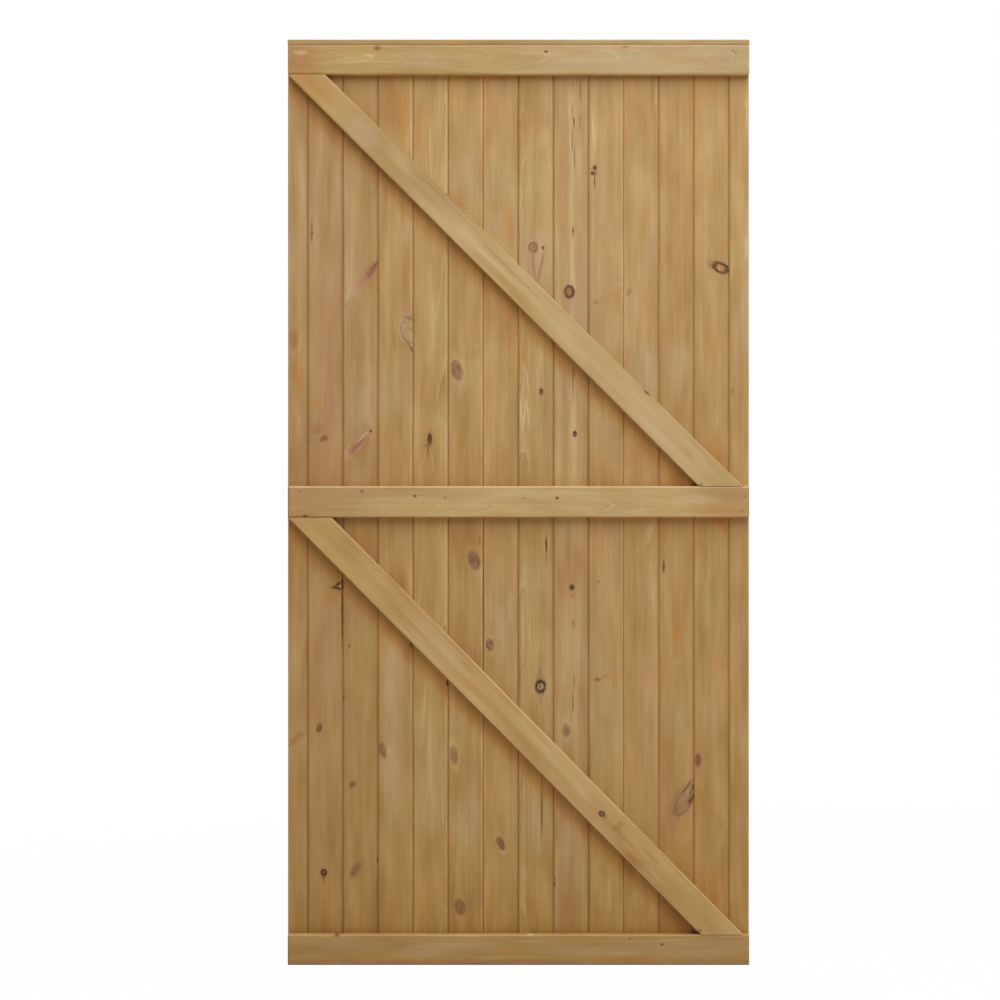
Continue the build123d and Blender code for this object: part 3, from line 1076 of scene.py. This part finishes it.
braceWood = {**calm, "main": "straw", "paleLines": 0.2, "sway": (4.0, 6.0), "swayLength": 160.0,
             "pithLean": 0.03}
# Their under and over tints are painted light and shade on the arrises
braceLooks = {
    "lower_brace": {"otherShare": 0.4, "ringContrast": 0.08, "paleness": 0.2, "tint": (0.98, 1.01, 1.06),
                    "under": (0.85, 0.76, 0.6), "over": (1.12, 1.2, 1.35)},
    "upper_brace": {"other": "golden", "otherShare": 0.3, "tint": (0.92, 1.0, 1.14),
                    "under": (1.18, 1.05, 0.85)},
}
braceFoot = 0.086  # length of the level cut at a brace's foot


def braceRun(brace):
    # Its lowest and highest corner, and how far it falls for each metre across
    low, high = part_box(brace)
    return low, high, (high.z - low.z) / (high.x - low.x - braceFoot)


for node, look in braceLooks.items():
    fall = braceRun(node)[2]
    dress(node, {**braceWood, **look}, -math.atan(fall))
print("braces finished")


# Nails, driven from the plain side through the boards into the ledges and braces

nailLook = {
    "head": 4.4,  # mm across
    "top": 0.8,  # its rounded top's width, of that
    "proud": 0.2,
    "sunk": 1.0,  # the rest of the head lies in the wood
    "sides": 12,
    "pairGap": 34.0,  # between the two nails in a board
    "single": 0.8,  # a board narrower than this, of a whole one, gets one nail
    "clear": 30.0,  # from a brace's two ends
    "stray": 2.0,  # how far a nail strays from its place
    "tilt": 3.0,  # degrees
    "steel": tone(118, 110, 100),
    "rust": tone(92, 58, 38),
    "rusty": 0.55,  # how much of it is
    "rustSpot": 3.0,  # mm
    "seed": 7,
}


def nailPlaces():
    # Two nails where a whole board crosses a ledge, one in a narrow board, and one over a brace
    dice = random.Random(nailLook["seed"])
    stray = nailLook["stray"]
    places = []
    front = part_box("board_01")[1].y - nailLook["sunk"] * mm

    def drive(x, z):
        places.append((x + dice.uniform(-stray, stray) * mm, front, z + dice.uniform(-stray, stray) * mm))

    for board in boardLooks:
        low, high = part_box(board)
        middle = (low.x + high.x) / 2
        whole = high.x - low.x > nailLook["single"] * boardCover * mm
        for ledge in ("bottom_ledge", "middle_ledge", "top_ledge"):
            for step in (-0.5, 0.5) if whole else (0.0,):
                drive(middle + step * nailLook["pairGap"] * mm, middleOf(ledge).z)
        for brace in braceLooks:
            low, high, fall = braceRun(brace)
            height = high.z - (middle - low.x - braceFoot / 2) * fall
            if low.z + nailLook["clear"] * mm < height < high.z - nailLook["clear"] * mm:
                drive(middle, height)
    return places


def steelOf(look):
    material = bpy.data.materials.new("nail steel")
    finish = Finish(material)
    place = finish.node("ShaderNodeTexCoord", {}, {}, output="Object")
    spots = (look["rustSpot"] * mm,) * 3
    rust = finish.noise(place, spots, (0, 0, 0)).between(1 - look["rusty"], 0.7)
    surface = finish.node(
        "ShaderNodeBsdfPrincipled",
        {},
        {
            "Base Color": finish.mix(rust, look["steel"], look["rust"]),
            "Metallic": 0.7 - rust * 0.6,
            "Roughness": 0.45 + rust * 0.35,
        },
    )
    finish.node("ShaderNodeOutputMaterial", {}, {"Surface": surface})
    return material


def nailTree(material):
    # One head of the given size on every place; returns the tree and its inputs' identifiers
    tree = bpy.data.node_groups.new("nail heads", "GeometryNodeTree")
    face = tree.interface
    face.new_socket("places", in_out="INPUT", socket_type="NodeSocketGeometry")
    kinds = dict.fromkeys(("head", "top", "proud", "sunk", "tilt"), "Float")
    kinds.update(sides="Int", seed="Int")
    named = {
        name: face.new_socket(name, in_out="INPUT", socket_type=f"NodeSocket{kind}").identifier
        for name, kind in kinds.items()
    }
    face.new_socket("nails", in_out="OUTPUT", socket_type="NodeSocketGeometry")
    finish = Finish(tree)
    given = {name: finish.node("NodeGroupInput", {}, {}, output=name) for name in ("places", *kinds)}
    rim = given["head"] * 0.5
    tall = given["proud"] + given["sunk"]
    size = {"Radius Top": rim * given["top"], "Radius Bottom": rim, "Depth": tall}
    head = finish.node("GeometryNodeMeshCone", {}, {"Vertices": given["sides"], **size})
    either = {0: (-1, -1, -1), 1: (1, 1, 1), "Seed": given["seed"]}
    lean = finish.node("FunctionNodeRandomValue", {"data_type": "FLOAT_VECTOR"}, either)
    turn = finish.vector("MULTIPLY_ADD", lean, given["tilt"], (-math.pi / 2, 0, 0))
    heads = finish.node(
        "GeometryNodeInstanceOnPoints", {}, {"Points": given["places"], "Instance": head, "Rotation": turn}
    )
    solid = finish.node("GeometryNodeRealizeInstances", {}, {"Geometry": heads})
    steel = finish.node("GeometryNodeSetMaterial", {}, {"Geometry": solid, "Material": material})
    finish.node("NodeGroupOutput", {}, {0: steel})
    return tree, named


def driveNails(look):
    places = bpy.data.meshes.new("nail places")
    places.from_pydata(nailPlaces(), [], [])
    nails = placed("nail_heads", places)
    modifier = nails.modifiers.new("nail heads", "NODES")
    modifier.node_group, named = nailTree(steelOf(look))
    for name, identifier in named.items():
        value = look[name]
        if name in ("head", "proud", "sunk"):
            value = value * mm
        elif name == "tilt":
            value = math.radians(value)
        modifier[identifier] = value
    bpy.context.view_layer.update()
    seen = nails.evaluated_get(bpy.context.evaluated_depsgraph_get())
    made = bpy.data.meshes.new_from_object(seen)
    nails.modifiers.clear()
    nails.data = made
    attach(nails, "root")
    print("nails driven:", len(places.vertices))


driveNails(nailLook)
